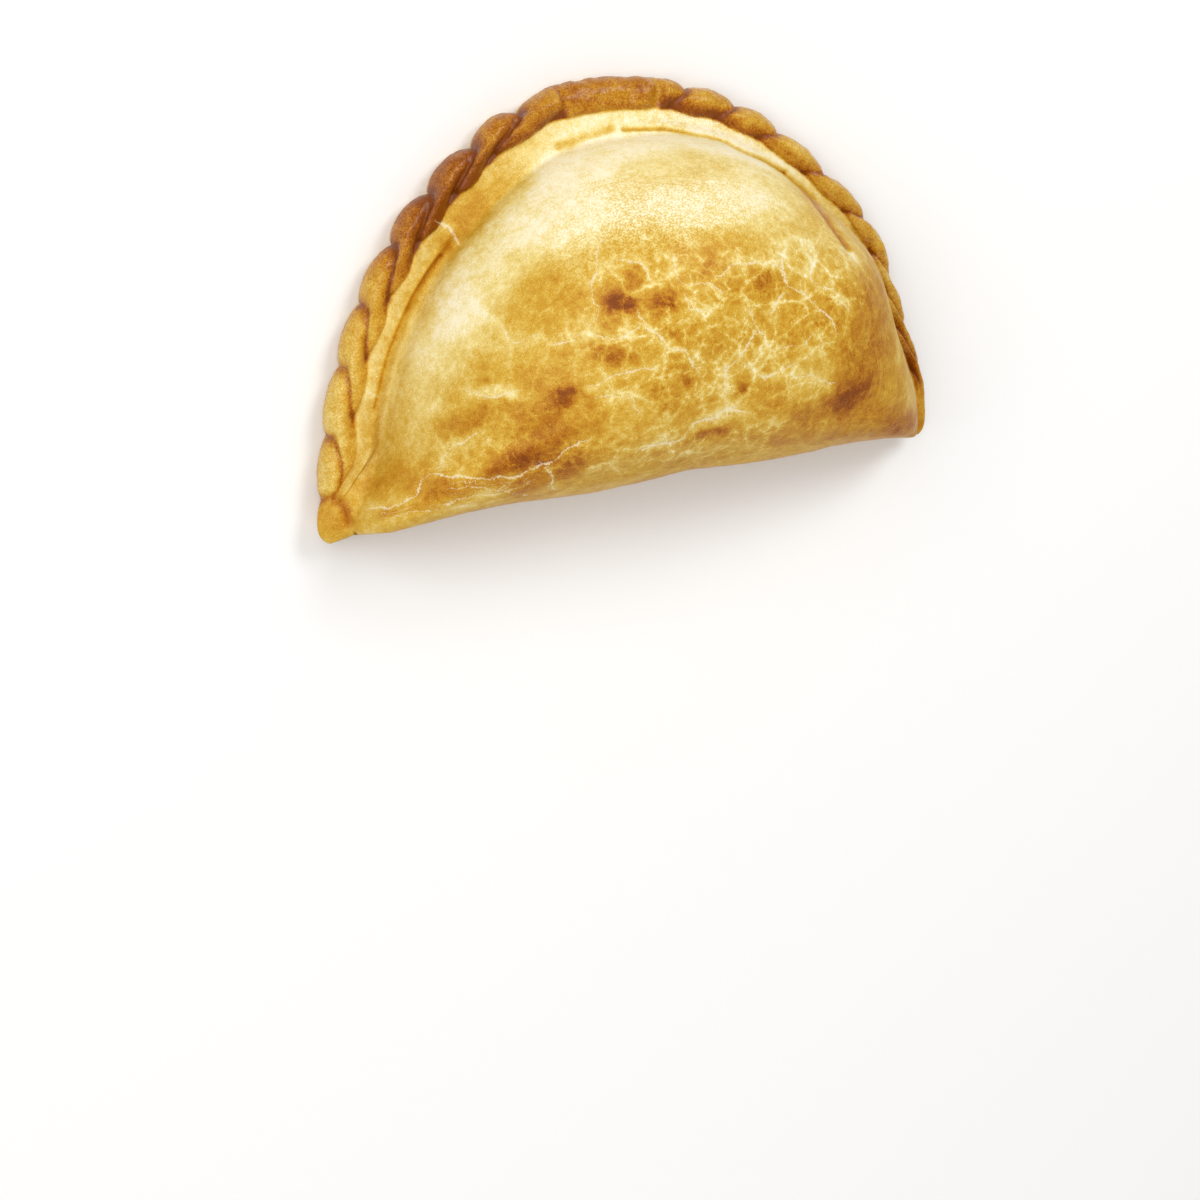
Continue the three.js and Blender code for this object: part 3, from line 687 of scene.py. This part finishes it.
def camera_axes():
    """Right, up and backward directions of the photograph's camera, and its place in millimetres."""
    aside, over = -math.sin(VIEW_TURN), math.sin(VIEW_RISE)
    back = Vector((aside, over, math.sqrt(1 - aside ** 2 - over ** 2)))
    level = Vector((0, 1, 0)).cross(back).normalized()
    upright = back.cross(level)
    right = math.cos(VIEW_ROLL) * level + math.sin(VIEW_ROLL) * upright
    up = math.cos(VIEW_ROLL) * upright - math.sin(VIEW_ROLL) * level
    return right, up, back, Vector(VIEW_TARGET) + VIEW_DISTANCE * back


def photo_places(points):
    """Where the points show in the photograph, in its pixels, and the pixels to a millimetre there."""
    right, up, back, eye = (np.array(axis) for axis in camera_axes())
    seen = points - eye
    scale = LENS / SENSOR * PHOTO_SIDE / -(seen @ back)
    u = PHOTO_SIDE / 2 + scale * (seen @ right)
    v = PHOTO_SIDE / 2 - scale * (seen @ up)
    return np.stack([u, v], axis=-1), scale


def line_distance(places, line):
    """Distance of each place to a line of points, and the side of it that the place lies on."""
    nearest = np.full(len(places), np.inf)
    side = np.ones(len(places))
    for start, end in zip(line[:-1], line[1:]):
        offset, run = places - np.array(start), np.subtract(end, start)
        share = np.clip(offset @ run / (run @ run), 0, 1)
        distance = np.linalg.norm(offset - share[:, None] * run, axis=1)
        turn = np.sign(offset[:, 0] * run[1] - offset[:, 1] * run[0])
        side = np.where(distance < nearest, turn, side)
        nearest = np.minimum(nearest, distance)
    return nearest, side


def rough(points, size, start):
    """Smooth noise from -1 to 1 with features of this size in millimetres."""
    return np.array([noise.noise(Vector(place)) for place in (points / size + start).tolist()])


def shifted(points, places, scale, shift):
    """Places pushed about by smooth noise, so that what is drawn at them has uneven edges."""
    starts = (shift["start"], shift["start"] + WARP_APART)
    pushes = [rough(points, shift["size"], start) for start in starts]
    return places + shift["shift"] * scale[:, None] * np.stack(pushes, axis=-1)


def crack_fields(places, scale):
    """Signed distance to the nearest crack, the gap to its edge and its width, in millimetres."""
    across = np.full(len(places), CRACK_REACH, float)
    gap = across.copy()
    widths = np.zeros(len(places))
    for width, line in CRACKS:
        distance, side = line_distance(places, line)
        closer = distance / scale - width / 2 < gap
        across = np.where(closer, side * distance / scale, across)
        widths = np.where(closer, width, widths)
        gap = np.where(closer, distance / scale - width / 2, gap)
    return across, gap, widths


def patch_sum(places, patches):
    """Sum of soft round patches, each strongest in its middle and fading to 0."""
    total = np.zeros(len(places))
    for u, v, long, wide, turn, strength in patches:
        heading = math.radians(turn)
        across = (places - (u, v)) @ np.array((math.cos(heading), -math.sin(heading)))
        aside = (places - (u, v)) @ np.array((math.sin(heading), math.cos(heading)))
        total += strength * np.exp(-((across / long) ** 2 + (aside / wide) ** 2) ** PATCH_POWER)
    return total


def crust_relief(points, zones, gap, creases, crack_depth):
    """Height in millimetres of the crust's blisters, wrinkles, cracks and creases."""
    rope, _, under, _ = zones
    relief = np.zeros(len(points))
    for bump in BLISTERS:
        relief += (1 - rope) * bump["height"] * rough(points, bump["size"], bump["start"])
    for bump in WRINKLES:
        relief += rope * bump["height"] * rough(points, bump["size"], bump["start"])
    groove = 1 - smoothstep(gap, -CRACK_LIP / 2, CRACK_LIP / 2)
    return (relief + creases - crack_depth * groove) * (1 - under)


def crease_fields(places, scale, facing):
    """Depth in millimetres and browning of the creases and bands beside the dome: painted shade in the
    creases and beside the bead, and a painted highlight along the right ledge.
    """
    depth = np.zeros(len(places))
    browning = np.zeros(len(places))
    for width, deep, tone, line in CREASES:
        aside = line_distance(places, line)[0] / scale
        depth = np.minimum(depth, -deep * facing * np.exp(-(aside / width) ** 2))
        browning += tone * facing * np.exp(-(aside / width) ** 2)
    return depth, browning


def crust_fields(points, normals, zones, crack_depth):
    """The crust's relief, and the values that its material reads at each point."""
    rope, tone, under, inset = zones
    places, scale = photo_places(points)
    back = np.array(camera_axes()[2])
    facing = smoothstep(normals @ back, *FACING)
    across, gap, width = crack_fields(shifted(points, places, scale, CRACK_JAG), scale)
    gap = lerp(CRACK_REACH, gap, smoothstep(normals @ back, *CRACK_FACING))
    depth, browning = crease_fields(places, scale, facing)
    uneven = places
    for warp in PATCH_WARPS:
        uneven = shifted(points, uneven, scale, warp)
    patches, crazing, flaky, glints = (
        patch_sum(uneven, kind) * facing * (1 - rope) for kind in (PATCHES, CRAZED, FLAKY, PAINTED_SPECKS_AND_SHINE))
    # The tone to paint at each point: the crust's browning, with painted shade and highlights from the band,
    # the creases and the patches
    bake = lerp(HIDDEN_TONE, DOME_TONE, facing) + tone + browning + SOLE_TONE * under
    bake += patches + CRAZED_TONE * np.clip(crazing, 0, 1)
    values = {
        "bake": np.maximum(bake, PALEST),
        "crack_across": across,
        "crack_gap": gap,
        "crack_width": width,
        "crazing": np.clip(crazing, 0, 1),
        "flaky": np.clip(flaky, 0, 1),
        "glints": glints,
        "layers": inset + points[:, 2],
        "rope": rope,
    }
    return crust_relief(points, zones, gap, depth, crack_depth), values


def set_inputs(tree, node, inputs):
    """Sets or links a node's inputs, given by name or in order."""
    for key, value in inputs.items() if isinstance(inputs, dict) else enumerate(inputs):
        if isinstance(value, bpy.types.NodeSocket):
            tree.links.new(value, node.inputs[key])
        else:
            node.inputs[key].default_value = value


def add_node(tree, kind, settings=None, inputs=(), output=0):
    """Adds a shader node with its settings and inputs, and gives one of its outputs."""
    node = tree.nodes.new("ShaderNode" + kind)
    for name, value in (settings or {}).items():
        setattr(node, name, value)
    set_inputs(tree, node, inputs)
    return node.outputs[output]


def sized(places, size, detail=2):
    """Inputs of a pattern with features of this size in millimetres."""
    return {"Vector": places, "Scale": 1 / (size * MM), "Detail": detail}


def zone_sum(node, values, zones, start):
    """A value that differs by its own amount in each zone of the crust."""
    for zone, change in zones.items():
        start = node("Math", MULTIPLY_ADD, (values[zone], change, start))
    return start


class EmpanadaForm(bpy.types.PropertyGroup):
    """Sizes of the folded dough."""

    length: FloatProperty(
        name="Length", description="Tip to tip along the fold", default=123 * MM, unit="LENGTH")
    depth: FloatProperty(
        name="Depth", description="Fold to the outside of the rim", default=71 * MM, unit="LENGTH")
    height: FloatProperty(
        name="Height", description="Sole to the top of the dome", default=43 * MM, unit="LENGTH")
    rope_width: FloatProperty(
        name="Rope width", description="Rim's edge to the crimps' inner tips", default=5.8 * MM,
        unit="LENGTH")
    crimp_rise: FloatProperty(
        name="Crimp rise", description="Height of a crimp", default=3 * MM, unit="LENGTH")
    crack_depth: FloatProperty(
        name="Crack depth", description="Depth of the crust's cracks", default=0.1 * MM, unit="LENGTH")


class EmpanadaCrust(bpy.types.PropertyGroup):
    """Colours of the crust, from unbaked to well browned."""

    cream: FloatVectorProperty(
        name="Cream", description="Palest crust", subtype="COLOR", default=linear("#F6ECCC"))
    pale: FloatVectorProperty(
        name="Pale", description="Lightly baked crust", subtype="COLOR", default=linear("#E8D284"))
    gold: FloatVectorProperty(
        name="Gold", description="Egg-washed golden crust", subtype="COLOR", default=linear("#D0A63A"))
    tan: FloatVectorProperty(
        name="Tan", description="Golden brown crust", subtype="COLOR", default=linear("#BC821E"))
    brown: FloatVectorProperty(
        name="Brown", description="Well browned crust", subtype="COLOR", default=linear("#A05A0C"))
    dark: FloatVectorProperty(
        name="Dark", description="Deepest browning", subtype="COLOR", default=linear("#7C3C04"))
    crack: FloatVectorProperty(
        name="Crack", description="Dough in the cracks", subtype="COLOR", default=linear("#EADDB4"))


class EmpanadaStage(bpy.types.PropertyGroup):
    """The studio round it."""

    floor: FloatVectorProperty(
        name="Floor", description="Colour of the floor", subtype="COLOR", default=linear("#F4F3F1"))
    key_power: FloatProperty(
        name="Key light", description="Power of the key light", default=2.9, unit="POWER")
    fill_power: FloatProperty(
        name="Fill light", description="Power of the fill light", default=6.6, unit="POWER")
    bounce_power: FloatProperty(
        name="Bounce", description="Power of the light from the folded side", default=2.2, unit="POWER")
    sky: FloatProperty(name="Sky", description="Strength of the even light all round", default=0.3)


def warped_places(node, places):
    """Object places pushed about by smooth noise, so that no pattern runs straight."""
    for size, reach in WARPS:
        swirl = node("TexNoise", None, sized(places, size, detail=3), output="Color")
        places = node("VectorMath", MULTIPLY_ADD, (swirl, [2 * reach * MM] * 3, places))
    return places


def crack_lines(node, places, values):
    """Share of pale dough in the drawn cracks, and of the paler crust within a short way of them."""
    across = values["crack_across"]
    for size, shift in CRACK_RAGS:
        rag = node("TexNoise", None, sized(places, size))
        rag = node("Math", SUBTRACT, (rag, NOISE_MIDDLE))
        across = node("Math", MULTIPLY_ADD, (rag, 2 * shift, across))
    across = node("Math", {"operation": "ABSOLUTE"}, (across,))
    broken = node("TexNoise", None, sized(places, CRACK_BREAKS["size"]))
    width = node("MapRange", None, (broken, *CRACK_BREAKS["noise"], *CRACK_BREAKS["width"]))
    width = node("Math", MULTIPLY, (values["crack_width"], width))
    line = node("MapRange", SMOOTH, (across, 0, width, CRACK_SHARE, 0))
    near = node("MapRange", SMOOTH, (values["crack_gap"], *CRACK_FADE, 1, 0))
    halo = node("MapRange", SMOOTH, (values["crack_gap"], 0, CRACK_HALO, 1, 0))
    return node("Math", MULTIPLY, (line, near)), halo


def network_tone(node, warped, fray, broken, network):
    """Change of browning along a network of frayed, broken hairlines, and beside them."""
    cell, share = network["cell"], network["share"]
    cells = sized(warped, cell, detail=0)
    edge = node("TexVoronoi", {"feature": "DISTANCE_TO_EDGE"}, cells, output="Distance")
    edge = node("Math", MULTIPLY_ADD, (fray, FRAY["reach"] / cell, edge))
    widths = (NETWORK_BREAKS["least"], network["width"] / cell)
    width = node("MapRange", None, (broken, *NETWORK_BREAKS["noise"], *widths))
    line = node("MapRange", SMOOTH, (edge, 0, width, -share * NETWORK_TONE, 0))
    beside = node("MapRange", SMOOTH, (edge, 0, NETWORK_HALO, share * HALO_TONE, 0))
    return node("Math", None, (line, beside))


def crazing_tone(node, places, values, tone):
    """Browning with the crazed crust's islands: each its own shade, paler at its edge, a hairline between."""
    warped = warped_places(node, places)
    broken = node("TexNoise", None, sized(places, NETWORK_BREAKS["size"]))
    fray = node("TexNoise", None, sized(places, FRAY["size"]))
    fray = node("Math", SUBTRACT, (fray, NOISE_MIDDLE))
    cells = sized(warped, NETWORKS[0]["cell"], detail=0)
    island = node("TexVoronoi", None, cells, output="Color")
    island = node("SeparateColor", None, (island,))
    change = node("Math", MULTIPLY, (island, ISLANDS))
    for network in NETWORKS:
        change = node("Math", None, (change, network_tone(node, warped, fray, broken, network)))
    return node("Math", MULTIPLY_ADD, (change, values["crazing"], tone))


def grain_tone(node, places, values, tone):
    """Browning with a fine grain: soft specks all over, a few bright specks as painted glints and a few dark
    pits.
    """
    grain = node("TexNoise", None, sized(places, GRAIN["size"], detail=1))
    centred = node("Math", SUBTRACT, (grain, NOISE_MIDDLE))
    strength = zone_sum(node, values, GRAIN_ZONES, GRAIN["tone"])
    tone = node("Math", MULTIPLY_ADD, (centred, strength, tone))
    for spots in (PAINTED_SPARKLES, PITS):
        spot = node("MapRange", None, (grain, *spots["noise"], 0, spots["tone"]))
        tone = node("Math", None, (tone, spot))
    return tone


def streak_tone(node, places, values, tone):
    """Browning with the flaky crust's fine streaks, which follow its layers."""
    ripple = node("TexNoise", None, sized(places, STREAKS["long"], detail=3))
    layer = node("Math", MULTIPLY_ADD, (ripple, STREAKS["ripple"], values["layers"]))
    layer = node("Math", MULTIPLY, (layer, 1 / STREAKS["across"]))
    layer = node("CombineXYZ", None, {"Z": layer})
    stretch = [1 / (STREAKS["long"] * MM)] * 2 + [0]
    along = node("VectorMath", MULTIPLY_ADD, (places, stretch, layer))
    streak = node("TexNoise", None, {"Vector": along, "Scale": 1, "Detail": 2})
    streak = node("Math", SUBTRACT, (streak, NOISE_MIDDLE))
    streak = node("Math", MULTIPLY, (streak, values["flaky"]))
    return node("Math", MULTIPLY_ADD, (streak, STREAKS["tone"], tone))


def crust_tone(node, places, values, halo):
    """Browning at each place: the tone laid down at the points, which holds painted shade and highlights,
    paler beside the cracks, with the crust's patterns.
    """
    tone = node("Math", MULTIPLY_ADD, (halo, HALO_TONE, values["bake"]))
    for size, change, detail in MOTTLES:
        mottle = node("TexNoise", None, sized(places, size, detail))
        mottle = node("Math", SUBTRACT, (mottle, NOISE_MIDDLE))
        tone = node("Math", MULTIPLY_ADD, (mottle, change, tone))
    for pattern in (streak_tone, crazing_tone, grain_tone):
        tone = pattern(node, places, values, tone)
    return tone


def crust_colour(node, colours, tone):
    """Colour of the crust from its browning: cream, through gold, to dark brown."""
    colour = node("ValToRGB", None, (tone,))
    elements = colour.node.color_ramp.elements
    for _ in BROWNING[2:]:
        elements.new(0.5)
    for element, (name, place) in zip(elements, BROWNING):
        element.position = place
        element.color = (*getattr(colours, name), 1)
    return colour


def egg_wash(node, places, values):
    """Roughness of the crust, and weight of the wash's shiny coat."""
    wash = node("TexNoise", None, sized(places, EGG_WASH["size"], detail=3))
    roughness = node("MapRange", None, (wash, *EGG_WASH["noise"], *EGG_WASH["roughness"]))
    roughness = zone_sum(node, values, ROUGHNESS_ZONES, roughness)
    return roughness, zone_sum(node, values, COAT_ZONES, 0)


def crust_bump(node, places):
    """Fine sandy grain of the crust, as a bumped normal."""
    grain = node("TexNoise", None, sized(places, SAND["size"]))
    return node("Bump", None, {"Strength": 1, "Distance": SAND["depth"] * MM, "Height": grain})


def crust_material(colours, names):
    """Egg-washed shortcrust: satin golden dough, browned in soft patches with some painted shade and
    highlights, with pale hairline cracks.
    """
    material = bpy.data.materials.new("egg_washed_crust")
    material.use_nodes = True
    tree = material.node_tree
    node = partial(add_node, tree)
    places = node("TexCoord", output="Object")
    values = {name: node("Attribute", {"attribute_name": name}, output="Fac") for name in names}
    line, halo = crack_lines(node, places, values)
    colour = crust_colour(node, colours, crust_tone(node, places, values, halo))
    colour = node("Mix", {"data_type": "RGBA"}, {0: line, 6: colour, 7: (*colours.crack, 1)}, output=2)
    roughness, coat = egg_wash(node, places, values)
    bump = crust_bump(node, places)
    set_inputs(tree, tree.nodes["Principled BSDF"], {
        "Base Color": colour, "Roughness": roughness, "IOR": CRUST_IOR, "Specular IOR Level": CRUST_SPECULAR,
        "Normal": bump, "Coat Weight": coat, "Coat Roughness": COAT_ROUGHNESS, "Coat IOR": CRUST_IOR,
        "Coat Normal": bump,
    })
    return material


def floor_material(colour):
    """Matt white studio card."""
    material = bpy.data.materials.new("white_card")
    material.use_nodes = True
    tree = material.node_tree
    card = {"Base Color": (*colour, 1), "Roughness": FLOOR_ROUGHNESS}
    set_inputs(tree, tree.nodes["Principled BSDF"], card)
    return material


def add_camera(scene):
    """The photograph's camera."""
    right, up, back, eye = camera_axes()
    data = bpy.data.cameras.new("camera")
    data.lens = LENS
    data.sensor_width = SENSOR
    data.clip_end = VIEW_END
    camera = bpy.data.objects.new("camera", data)
    camera.matrix_world = Matrix.Translation(eye * MM) @ Matrix((right, up, back)).transposed().to_4x4()
    scene.collection.objects.link(camera)
    scene.camera = camera


def add_floor(scene, colour):
    """A wide floor that it lies on."""
    mesh = bpy.data.meshes.new("floor")
    corners = [(x * FLOOR_REACH, y * FLOOR_REACH, 0) for x, y in ((-1, -1), (1, -1), (1, 1), (-1, 1))]
    mesh.from_pydata(corners, [], [(0, 1, 2, 3)])
    floor = bpy.data.objects.new("floor", mesh)
    floor.data.materials.append(floor_material(colour))
    scene.collection.objects.link(floor)


def add_sky(scene, strength):
    """Even white light from all round."""
    world = bpy.data.worlds.new("studio")
    world.use_nodes = True
    tree = world.node_tree
    set_inputs(tree, tree.nodes["Background"], {"Color": (1, 1, 1, 1), "Strength": strength})
    scene.world = world


def add_light(scene, name, power, size, place):
    """A soft square light, aimed at the empanada."""
    data = bpy.data.lights.new(name, "AREA")
    data.energy = power
    data.size = size
    light = bpy.data.objects.new(name, data)
    light.location = place
    light.rotation_euler = (Vector(LIGHT_AIM) - Vector(place)).to_track_quat("-Z", "Y").to_euler()
    light.visible_camera = False
    scene.collection.objects.link(light)


class EMPANADA_OT_stage(bpy.types.Operator):
    """Sets up the floor, the lights and the camera"""

    bl_idname = "empanada.stage"
    bl_label = "Pale studio"

    def execute(self, context):
        scene = context.scene
        look = scene.empanada_stage
        add_camera(scene)
        add_floor(scene, look.floor)
        add_sky(scene, look.sky)
        for light in LIGHTS:
            add_light(scene, power=getattr(look, light["name"] + "_power"), **light)
        scene.view_settings.view_transform = "Standard"
        return {"FINISHED"}


class EMPANADA_OT_build(bpy.types.Operator):
    """Builds the empanada with its crust"""

    bl_idname = "empanada.build"
    bl_label = "Empanada"

    def execute(self, context):
        form = context.scene.empanada_form
        skin = dough_skin(DoughShape(form))
        points = np.concatenate(skin.points)
        low, high = (np.array(corner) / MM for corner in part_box("empanada"))
        middle = (points.min(axis=0) + points.max(axis=0)) / 2
        points[:, :2] += ((low + high) / 2 - middle)[:2]
        mesh = bpy.data.meshes.new("baked_empanada")
        mesh.from_pydata(points * MM, [], skin.faces)
        normals = np.empty(points.size)
        mesh.vertex_normals.foreach_get("vector", normals)
        normals = normals.reshape(-1, 3)
        zones = np.concatenate(skin.zones).T
        relief, values = crust_fields(points, normals, zones, form.crack_depth / MM)
        mesh.vertices.foreach_set("co", ((points + relief[:, None] * normals) * MM).ravel())
        mesh.polygons.foreach_set("use_smooth", np.ones(len(mesh.polygons), bool))
        for name, column in values.items():
            mesh.attributes.new(name, "FLOAT", "POINT").data.foreach_set("value", column.astype(np.float32))
        mesh.materials.append(crust_material(context.scene.empanada_crust, values))
        piece = bpy.data.objects.new("baked_empanada", mesh)
        context.scene.collection.objects.link(piece)
        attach(piece, "root")
        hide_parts("empanada")
        return {"FINISHED"}


class EMPANADA_PT_sidebar(bpy.types.Panel):
    """Lists the pieces and their settings"""

    bl_idname = "EMPANADA_PT_sidebar"
    bl_label = "Empanada"
    bl_space_type = "VIEW_3D"
    bl_region_type = "UI"
    bl_category = "Empanada"

    def draw(self, context):
        for name, kind in GROUPS.items():
            for value in kind.__annotations__:
                self.layout.prop(getattr(context.scene, name), value)
        for operator in (EMPANADA_OT_stage, EMPANADA_OT_build):
            self.layout.operator(operator.bl_idname)


GROUPS = {"empanada_form": EmpanadaForm, "empanada_crust": EmpanadaCrust, "empanada_stage": EmpanadaStage}
CLASSES = (*GROUPS.values(), EMPANADA_OT_stage, EMPANADA_OT_build, EMPANADA_PT_sidebar)


def register():
    for cls in CLASSES:
        bpy.utils.register_class(cls)
    for name, group in GROUPS.items():
        setattr(bpy.types.Scene, name, PointerProperty(type=group))


def unregister():
    for name in GROUPS:
        delattr(bpy.types.Scene, name)
    for cls in reversed(CLASSES):
        bpy.utils.unregister_class(cls)


def main():
    register()
    bpy.ops.empanada.stage()
    bpy.ops.empanada.build()


if __name__ == "__main__":
    main()
